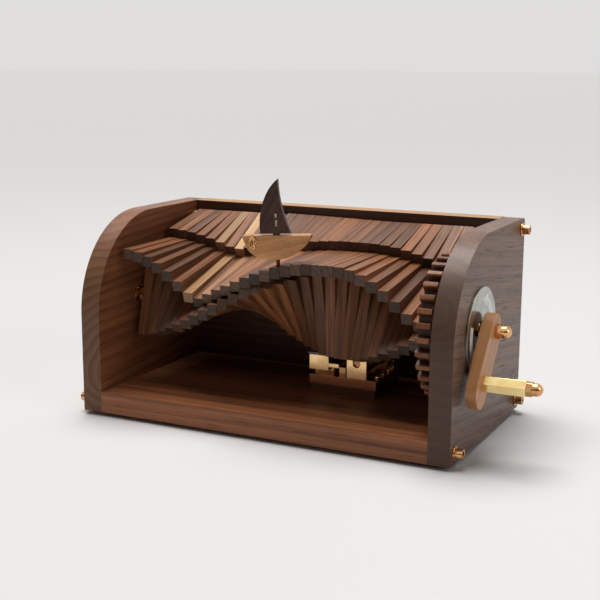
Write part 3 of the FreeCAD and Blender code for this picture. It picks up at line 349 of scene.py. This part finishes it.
def soften(mesh, width, segments, sharpest):
    # rounds each edge that turns by more than the sharpest angle left alone
    edges = [edge for edge in mesh.edges
             if len(edge.link_faces) == 2 and edge.calc_face_angle(0.0) > math.radians(sharpest)]
    if edges and width > 0:
        bmesh.ops.bevel(mesh, geom=edges, offset=width, offset_type="OFFSET", segments=segments, profile=0.6,
                        affect="EDGES", clamp_overlap=True, loop_slide=True)


def solidNumbers(data):
    # which separate solid each vertex is in: the lowest vertex number is passed along the edges until none changes
    count = len(data.vertices)
    ends = np.zeros(len(data.edges) * 2, np.int64)
    data.edges.foreach_get("vertices", ends)
    first, second = ends.reshape(-1, 2).T
    label = np.arange(count)
    while True:
        lower = np.minimum(label[first], label[second])
        fresh = label.copy()
        np.minimum.at(fresh, first, lower)
        np.minimum.at(fresh, second, lower)
        fresh = fresh[fresh]
        if np.array_equal(fresh, label):
            break
        label = fresh
    return np.unique(label, return_inverse=True)[1]


def addGrain(data, direction, toneOf, burnAndPaintedLight=None):
    # each solid gets its own place in the log and its own tone; fibres run along the given way or the solid's length
    spots = np.zeros(len(data.vertices) * 3)
    data.vertices.foreach_get("co", spots)
    spots = spots.reshape(-1, 3)
    solid = solidNumbers(data)
    place = np.zeros_like(spots)
    tone = np.zeros(len(spots))
    along = np.zeros((solid.max() + 1, 3))
    order = np.argsort([spots[solid == number].mean(0)[2] for number in range(solid.max() + 1)])
    for rank, number in enumerate(order):
        own = spots[solid == number]
        centred = own - own.mean(0)
        if direction is None:
            way = np.linalg.svd(centred, full_matrices=False)[2][0]
        else:
            way = np.array(direction, float)
        way = way / np.linalg.norm(way)
        side = np.array([1.0, 0.0, 0.0]) if abs(way[0]) < 0.9 else np.array([0.0, 1.0, 0.0])
        side = side - way * (side @ way)
        side = side / np.linalg.norm(side)
        up = np.cross(side, way)
        shift = luck.uniform(-0.04, 0.04, 3) * (1.0, 6.0, 1.0)
        place[solid == number] = np.stack([centred @ side, centred @ way, centred @ up], 1) + shift
        tone[solid == number] = toneOf(rank)
        along[number] = way
    normals = np.zeros(len(data.polygons) * 3)
    data.polygons.foreach_get("normal", normals)
    starts = np.zeros(len(data.polygons), np.int64)
    data.polygons.foreach_get("loop_start", starts)
    corners = np.zeros(len(data.loops), np.int64)
    data.loops.foreach_get("vertex_index", corners)
    facing = np.abs((normals.reshape(-1, 3) * along[solid[corners[starts]]]).sum(1))
    # without a given mask the share marks end grain; the given masks carry saw burn and painted shade on the gears and
    # painted light on the back panel's top
    cut = np.clip((facing - 0.6) / 0.3, 0, 1) if burnAndPaintedLight is None else burnAndPaintedLight(data)
    data.attributes.new("grainPlace", "FLOAT_VECTOR", "POINT").data.foreach_set("vector", place.ravel())
    data.attributes.new("tone", "FLOAT", "POINT").data.foreach_set("value", tone)
    data.attributes.new("cutEnd", "FLOAT", "FACE").data.foreach_set("value", cut)
    return solid, corners[starts]


def dress(nodeName, look, width=0.25, segments=2, sharpest=35, direction=None, toneOf=None, pick=None, burnAndPaintedLight=None):
    # width is in millimetres; pick names another look for some of the solids
    mesh = mergedCopy(nodeName)
    soften(mesh, width * millimetre, segments, sharpest)
    data = bpy.data.meshes.new(nodeName + "_shown")
    mesh.to_mesh(data)
    mesh.free()
    data.polygons.foreach_set("use_smooth", np.ones(len(data.polygons), bool))
    data.set_sharp_from_angle(angle=math.radians(50))
    data.materials.append(material[look])
    if look in woodLooks:
        solid, firstCorner = addGrain(data, direction, toneOf or (lambda rank: luck.uniform(0.35, 0.65)), burnAndPaintedLight)
        if pick:
            chosen = pick(solid, firstCorner, data)
            for other in sorted(set(chosen.values())):
                data.materials.append(material[other])
            names = [slot.name for slot in data.materials]
            index = np.array([names.index(chosen[number]) if number in chosen else 0
                              for number in solid[firstCorner]], np.int32)
            data.polygons.foreach_set("material_index", index)
    shown = bpy.data.objects.new(nodeName + "_shown", data)
    bpy.context.scene.collection.objects.link(shown)
    weights = shown.modifiers.new("faceWeights", "WEIGHTED_NORMAL")
    weights.keep_sharp = True
    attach(shown, bodyOf[nodeName])
    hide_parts(nodeName)
    return shown


def facingUp(data):
    # painted light: faces that face up take the pale end colour, as if lit from above
    normals = np.zeros(len(data.polygons) * 3)
    data.polygons.foreach_get("normal", normals)
    return np.clip((normals.reshape(-1, 3)[:, 2] - 0.6) / 0.3, 0, 1)


# Case
caseParts = {
    "left_panel": {"direction": (0, 1, 0.06), "tone": 0.56},
    # the right panel takes the painted sheen look
    "right_panel": {"look": "walnutPaintedSheen", "direction": (0, 1, -0.14), "tone": 0.50},
    # the back panel's faces that face up take painted light
    "back_panel": {"look": "backWalnut", "direction": (1, 0, 0), "tone": 0.5, "burnAndPaintedLight": facingUp},
    "base_board": {"direction": (1, 0, 0), "tone": 0.86},
    "movement_riser": {"direction": (1, 0, 0), "tone": 0.42},
}
for name, settings in caseParts.items():
    dress(name, settings.get("look", "caseWalnut"), 0.45, 3, direction=settings["direction"],
          toneOf=lambda rank, s=settings: s["tone"], burnAndPaintedLight=settings.get("burnAndPaintedLight"))
dress("foot_pads", "footRubber", 0.3)
for name in ("case_screws", "case_washers", "rod_spacers", "shaft_bushes"):
    dress(name, "polishedBrass", 0.12)
for name in ("pivot_rod", "upper_rod"):
    dress(name, "roseBrass", 0.12)
print("case dressed")

# Sticks and levers: tones differ from one to the next, and a few are blond
rowTones = {"low": 0.02, "high": 0.88, "blondLevers": (7,), "blondUppers": (6, 8), "streakedLevers": (9, 11)}
levers = sorted(name for name in frame["nodes"] if name.startswith("wave_lever_"))
dress("cam_sticks", "stickWalnut", 0.22, toneOf=lambda rank: luck.uniform(0.0, 0.6))
for name in levers:
    number = int(name[-2:])

    def blondOf(solid, firstCorner, data, number=number):
        # the lower solid is the long lever and the upper one the short stick
        heights = np.zeros(len(data.vertices) * 3)
        data.vertices.foreach_get("co", heights)
        heights = heights.reshape(-1, 3)[:, 1]
        reach = [heights[solid == part].min() for part in range(solid.max() + 1)]
        lever = int(np.argmin(reach))
        chosen = {}
        if number in rowTones["blondLevers"]:
            chosen[lever] = "blondWood"
        if number in rowTones["streakedLevers"]:
            chosen[lever] = "streakWalnut"
        for part in range(len(reach)):
            if part != lever and number in rowTones["blondUppers"]:
                chosen[part] = "blondWood"
        return chosen

    dress(name, "stickWalnut", 0.22, toneOf=lambda rank: luck.uniform(rowTones["low"], rowTones["high"]),
          pick=blondOf)
print("levers dressed:", len(levers))

# Gears, crank and hardware
gearBurnAndShade = {"tipBand": 0.6}


def burnAndGapShadeBy(nodeName):
    # flanks and gaps take the dark end colour, for saw burn and for painted shade in the gaps; the side faces and the
    # tooth tips keep the plain wood
    low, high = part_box(nodeName)
    centre = np.array([(low.y + high.y) / 2, (low.z + high.z) / 2])
    tip = (high.y - low.y) / 2 - gearBurnAndShade["tipBand"] * millimetre

    def burnAndPaintedLight(data):
        normals = np.zeros(len(data.polygons) * 3)
        data.polygons.foreach_get("normal", normals)
        middles = np.zeros(len(data.polygons) * 3)
        data.polygons.foreach_get("center", middles)
        away = np.linalg.norm(middles.reshape(-1, 3)[:, 1:] - centre, axis=1)
        across = np.abs(normals.reshape(-1, 3)[:, 0])
        return np.where(away > tip, 0.0, np.clip((0.5 - across) / 0.4, 0, 1))

    return burnAndPaintedLight


dress("drive_gear", "gearWalnut", 0.18, direction=(0, 0, 1), toneOf=lambda rank: 0.62, burnAndPaintedLight=burnAndGapShadeBy("drive_gear"))
dress("drive_pinion", "gearWalnut", 0.15, direction=(0, 0, 1), toneOf=lambda rank: 0.45,
      burnAndPaintedLight=burnAndGapShadeBy("drive_pinion"))
dress("crank_arm", "cherryWood", 0.3, 3, toneOf=lambda rank: 0.5)
for name in ("shaft_nuts", "crank_nuts", "handle_screw", "handle_cap_nut"):
    dress(name, "polishedBrass", 0.12)
dress("handle_spacer", "creamBrass", 0.12)
dress("arrow_disc", "discMetal", 0.15)
print("crank dressed")


# Thread of the crank shaft
def gridSurface(name, spots, closedAround, closedAlong, look, body, replaced=()):
    # spots holds rings x columns points; neighbours make quads, and open tube ends are capped
    rings, columns = spots.shape[:2]
    numbers = np.arange(rings * columns).reshape(rings, columns)
    if closedAlong:
        numbers = np.concatenate([numbers, numbers[:1]], 0)
    if closedAround:
        numbers = np.concatenate([numbers, numbers[:, :1]], 1)
    quads = np.stack([numbers[:-1, :-1], numbers[:-1, 1:], numbers[1:, 1:], numbers[1:, :-1]], -1).reshape(-1, 4)
    faces = quads.tolist()
    if closedAround and not closedAlong:
        faces.append(numbers[0, :-1][::-1].tolist())
        faces.append(numbers[-1, :-1].tolist())
    data = bpy.data.meshes.new(name)
    data.from_pydata(spots.reshape(-1, 3).tolist(), [], faces)
    data.validate()
    mesh = bmesh.new()
    mesh.from_mesh(data)
    bmesh.ops.recalc_face_normals(mesh, faces=mesh.faces)
    mesh.to_mesh(data)
    mesh.free()
    data.polygons.foreach_set("use_smooth", np.ones(len(data.polygons), bool))
    data.set_sharp_from_angle(angle=math.radians(40))
    data.materials.append(material[look])
    piece = bpy.data.objects.new(name, data)
    bpy.context.scene.collection.objects.link(piece)
    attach(piece, body)
    if replaced:
        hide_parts(*replaced)
    return piece


threadSizes = {"pitch": 0.7, "depth": 0.32, "perTurn": 6, "around": 20}


def makeThread(sizes):
    # radius at (x, t) is the shaft's, less the depth times a triangle wave of x / pitch - t / full turn
    low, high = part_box("main_shaft")
    radius = (high.z - low.z) / 2
    centreY = (high.y + low.y) / 2
    centreZ = (high.z + low.z) / 2
    pitch = sizes["pitch"] * millimetre
    steps = int((high.x - low.x) / pitch * sizes["perTurn"])
    x = np.linspace(low.x, high.x, steps)[:, None]
    turn = np.linspace(0, 2 * np.pi, sizes["around"], endpoint=False)[None, :]
    phase = (x / pitch - turn / (2 * np.pi)) % 1
    reach = radius - sizes["depth"] * millimetre * np.abs(2 * phase - 1)
    spots = np.stack([x + 0 * turn, centreY + reach * np.cos(turn), centreZ + reach * np.sin(turn)], -1)
    gridSurface("shaft_thread", spots, True, False, "polishedBrass", bodyOf["main_shaft"],
                ("main_shaft",))


makeThread(threadSizes)
print("thread made")

# Arrows on the disc
arrowSizes = {"inner": 15.0, "outer": 19.6, "sweep": 112.0, "head": 28.0, "headWidth": 8.6, "lift": 0.04,
              "starts": (-20.0, 160.0)}


def makeArrow(number, start, sizes):
    # an arc band whose half-width grows to the head's and then shrinks to a point, on the disc's outer face
    low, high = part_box("arrow_disc")
    centreY = (high.y + low.y) / 2
    centreZ = (high.z + low.z) / 2
    middle = (sizes["inner"] + sizes["outer"]) / 2
    bodyHalf = (sizes["outer"] - sizes["inner"]) / 2
    angles = np.linspace(0, sizes["sweep"], 60)
    half = np.where(angles < sizes["sweep"] - sizes["head"], bodyHalf,
                    sizes["headWidth"] / 2 * (sizes["sweep"] - angles) / sizes["head"])
    across = np.linspace(-1, 1, 3)[None, :]
    radius = (middle + half[:, None] * across) * millimetre
    turn = np.radians(start + angles)[:, None]
    y = centreY + radius * np.cos(turn)
    z = centreZ + radius * np.sin(turn)
    layers = [np.stack([np.full_like(y, high.x + lift * millimetre), y, z], -1) for lift in (0.0, sizes["lift"])]
    ring = np.concatenate([layers[1], layers[0][:, ::-1]], 1)
    gridSurface("disc_arrow_%d" % number, ring, True, False, "arrowInk", bodyOf["arrow_disc"])


for number, start in enumerate(arrowSizes["starts"], 1):
    makeArrow(number, start, arrowSizes)
print("disc arrows made")

# Music movement
bedReflectionSplit = {"split": 0.0245}


def paintBedReflections(look):
    # painted reflection: the plate's lower faces take rose brass for the dark wood they face, and what stands above
    # the split height takes bright gold brass for the pale room it faces; faces that reach across are split
    shown = dress("bedplate", "roseBrass", 0.12)
    mesh = bmesh.new()
    mesh.from_mesh(shown.data)
    bmesh.ops.bisect_plane(mesh, geom=mesh.verts[:] + mesh.edges[:] + mesh.faces[:], dist=1e-7,
                           plane_co=(0, 0, look["split"]), plane_no=(0, 0, 1))
    mesh.to_mesh(shown.data)
    mesh.free()
    shown.data.materials.append(material["goldBrass"])
    middles = np.zeros(len(shown.data.polygons) * 3)
    shown.data.polygons.foreach_get("center", middles)
    # 1 where the painted pale reflection goes, 0 where the painted dark reflection stays
    gold = (middles.reshape(-1, 3)[:, 2] > look["split"]).astype(np.int32)
    shown.data.polygons.foreach_set("material_index", gold)


paintBedReflections(bedReflectionSplit)
dress("note_cylinder", "roseBrass", 0.12)
for name in ("comb", "worm_shaft"):
    dress(name, "movementSteel", 0.05)
dress("movement_screws", "goldBrass", 0.1)

pinSizes = {"columns": 42, "rows": 18, "radius": 0.16, "reach": 0.38, "sides": 6, "kept": 0.3, "drum": 6.5,
            "sunk": 0.1, "fromCombFront": 6.0, "endRoom": 2.0}


def makePins(sizes):
    # a six-sided cone frustum at each kept place of a grid round the drum, all in one array
    low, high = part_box("note_cylinder")
    joint = jointOf["cylinder_turn"]
    centreX, centreZ = joint["pos_m"][0], joint["pos_m"][2]
    start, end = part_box("comb")[0].y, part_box("comb")[1].y
    turnGrid, rowGrid = np.meshgrid(np.arange(sizes["columns"]), np.arange(sizes["rows"]), indexing="ij")
    kept = luck.uniform(size=turnGrid.shape) < sizes["kept"]
    turn = 2 * np.pi * turnGrid[kept] / sizes["columns"]
    first = start + sizes["fromCombFront"] * millimetre
    y = first + (end - first - sizes["endRoom"] * millimetre) * rowGrid[kept] / (sizes["rows"] - 1)
    outward = np.stack([np.cos(turn), 0 * turn, np.sin(turn)], -1)
    side = np.stack([-np.sin(turn), 0 * turn, np.cos(turn)], -1)
    along = np.array([0.0, 1.0, 0.0])
    foot = np.array([centreX, 0.0, centreZ]) + outward * (sizes["drum"] - sizes["sunk"]) * millimetre + along * y[:, None]
    around = 2 * np.pi * np.arange(sizes["sides"]) / sizes["sides"]
    ring = (np.cos(around)[None, :, None] * side[:, None, :] + np.sin(around)[None, :, None] * along)
    base = foot[:, None, :] + ring * sizes["radius"] * millimetre
    tip = base + outward[:, None, :] * sizes["reach"] * millimetre
    spots = np.concatenate([base, tip], 1).reshape(-1, 3)
    count = sizes["sides"]
    own = np.arange(len(foot))[:, None, None] * 2 * count
    edge = np.arange(count)
    following = (edge + 1) % count
    walls = own + np.stack([edge, following, following + count, edge + count], -1)[None]
    faces = walls.reshape(-1, 4).tolist() + (own[:, 0] + edge + count).tolist() + (own[:, 0] + edge[::-1]).tolist()
    data = bpy.data.meshes.new("cylinder_pins")
    data.from_pydata(spots.tolist(), [], faces)
    data.validate()
    mesh = bmesh.new()
    mesh.from_mesh(data)
    bmesh.ops.recalc_face_normals(mesh, faces=mesh.faces)
    mesh.to_mesh(data)
    mesh.free()
    data.materials.append(material["movementSteel"])
    pins = bpy.data.objects.new("cylinder_pins", data)
    bpy.context.scene.collection.objects.link(pins)
    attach(pins, bodyOf["note_cylinder"])


makePins(pinSizes)
print("movement dressed")

# Boat
dress("boat_hull", "cherryWood", 0.2, 2, direction=(1, 0, 0), toneOf=lambda rank: 0.62)
dress("boat_sail", "sailWalnut", 0.2, 2, direction=(0.5, 0, 1), toneOf=lambda rank: 0.5)
dress("boat_peg", "pegWood", 0.0, direction=(0, 0, 1), toneOf=lambda rank: 0.5)

curlSizes = {"centre": (-12.8, 4.2), "spread": (2.3, 3.7), "wire": 0.38, "turns": 240, "sides": 8, "stand": 0.35,
             "hullHalf": 3.0, "drop": 2.0, "boatTurn": 13.0}


def makeCurls(sizes):
    # a closed wire whose line is a wide slow loop plus a quick small one, so that it winds over itself
    low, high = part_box("boat_hull")
    middle = (low + high) / 2
    turn = math.radians(sizes["boatTurn"])
    lengthWay = np.array([math.cos(turn), math.sin(turn), 0.0])
    outWay = np.array([math.sin(turn), -math.cos(turn), 0.0])
    upWay = np.array([0.0, 0.0, 1.0])
    t = np.linspace(0, 2 * np.pi, sizes["turns"], endpoint=False)
    u = sizes["spread"][0] * (0.62 * np.sin(t) + 0.38 * np.sin(5 * t + 0.6))
    v = sizes["spread"][1] * (0.66 * np.cos(t) + 0.34 * np.cos(7 * t))
    out = sizes["hullHalf"] + sizes["stand"] * (1.0 + 0.6 * np.sin(6 * t))
    line = (np.array(middle)[None] + ((sizes["centre"][0] + u)[:, None] * lengthWay
            + (sizes["centre"][1] - v - sizes["drop"])[:, None] * upWay + out[:, None] * outWay) * millimetre)
    ahead = np.roll(line, -1, 0) - np.roll(line, 1, 0)
    ahead /= np.linalg.norm(ahead, axis=1)[:, None]
    side = np.cross(ahead, outWay)
    side /= np.linalg.norm(side, axis=1)[:, None]
    lift = np.cross(side, ahead)
    around = 2 * np.pi * np.arange(sizes["sides"]) / sizes["sides"]
    spots = (line[:, None] + sizes["wire"] * millimetre * (np.cos(around)[None, :, None] * side[:, None]
             + np.sin(around)[None, :, None] * lift[:, None]))
    gridSurface("hull_curls", spots, True, True, "polishedBrass", bodyOf["boat_hull"])


makeCurls(curlSizes)
print("boat dressed")

# Floor, lamps and world
stageSizes = {"floor": 30.0, "floorColour": (226, 227, 229), "sky": (0.86, 0.85, 0.84), "skyFill": 0.04,
              "skyShown": 0.86, "darkFront": 0.12}


def makeFloor(sizes):
    half = sizes["floor"]
    data = bpy.data.meshes.new("floor")
    data.from_pydata([(-half, -half, 0), (half, -half, 0), (half, half, 0), (-half, half, 0)], [], [(0, 1, 2, 3)])
    made, wire, shader = newMaterial("floorPaint")
    cloud = wire.noise(wire.add("TexCoord").outputs["Object"], 3.0, 2.0)
    pale = paint(*sizes["floorColour"])
    wire.join(wire.blend(cloud, pale, tuple(0.985 * value for value in pale[:3]) + (1.0,)),
              shader.inputs["Base Color"])
    shader.inputs["Roughness"].default_value = 0.8
    data.materials.append(made)
    floor = bpy.data.objects.new("floor", data)
    bpy.context.scene.collection.objects.link(floor)


def makeSun(name, spot, strength, softness, colour):
    # light as even far away as near, so that the floor keeps one tone up to the horizon
    data = bpy.data.lights.new(name, "SUN")
    data.energy = strength
    data.angle = math.radians(softness)
    data.color = colour
    sun = bpy.data.objects.new(name, data)
    sun.rotation_euler = (-Vector(spot)).to_track_quat("-Z", "Y").to_euler()
    bpy.context.scene.collection.objects.link(sun)


def makeLamp(name, spot, target, size, power, colour):
    data = bpy.data.lights.new(name, "AREA")
    data.shape = "RECTANGLE"
    data.size, data.size_y = size
    data.energy = power
    data.color = colour
    lamp = bpy.data.objects.new(name, data)
    lamp.location = spot
    lamp.rotation_euler = (Vector(target) - Vector(spot)).to_track_quat("-Z", "Y").to_euler()
    bpy.context.scene.collection.objects.link(lamp)


def makeWorld(sizes):
    # little fill for matt surfaces; reflections see a pale sky that is dark towards the front
    world = bpy.data.worlds.new("studio")
    bpy.context.scene.world = world
    world.use_nodes = True
    wire = Wiring(world.node_tree)
    background = world.node_tree.nodes["Background"]
    path = wire.add("LightPath")
    split = wire.add("SeparateXYZ")
    wire.join(wire.add("TexCoord").outputs["Object"], split.inputs[0])
    front = wire.sum("MULTIPLY", wire.range(split.outputs[1], -0.75, 0.05, 1.0, 0.0),
                     wire.range(split.outputs[2], 0.35, 0.75, 1.0, 0.0))
    level = wire.sum("MULTIPLY_ADD", front, sizes["darkFront"] - 1.0, 1.0)
    shiny = wire.sum("MAXIMUM", path.outputs["Is Glossy Ray"], path.outputs["Is Transmission Ray"])
    fill = wire.sum("MULTIPLY_ADD", path.outputs["Is Camera Ray"], sizes["skyShown"] - sizes["skyFill"],
                    sizes["skyFill"])
    mirror = wire.sum("MULTIPLY", shiny, wire.sum("SUBTRACT", level, fill))
    background.inputs["Color"].default_value = (*sizes["sky"], 1.0)
    wire.join(wire.sum("ADD", fill, mirror), background.inputs["Strength"])


makeFloor(stageSizes)
makeWorld(stageSizes)
makeSun("softSun", (-0.20, 0.14, 1.0), 2.75, 40.0, (1.0, 0.975, 0.94))
lamps = {
    "overheadLamp": {"spot": (-0.15, 0.25, 1.0), "target": (0, 0, 0.05), "size": (0.7, 0.6), "power": 2.2,
                     "colour": (1.0, 0.95, 0.88)},
    "rightLamp": {"spot": (1.0, -0.25, 0.55), "target": (0, 0, 0.06), "size": (0.5, 0.6), "power": 2.0,
                  "colour": (1.0, 0.985, 0.97)},
    "frontLamp": {"spot": (-0.5, -1.2, 0.75), "target": (0, 0, 0.07), "size": (0.7, 0.4), "power": 0.6,
                  "colour": (1.0, 0.96, 0.9)},
}
for name, settings in lamps.items():
    makeLamp(name, settings["spot"], settings["target"], settings["size"], settings["power"], settings["colour"])
bpy.context.scene.view_settings.view_transform = "Standard"
print("stage lit")
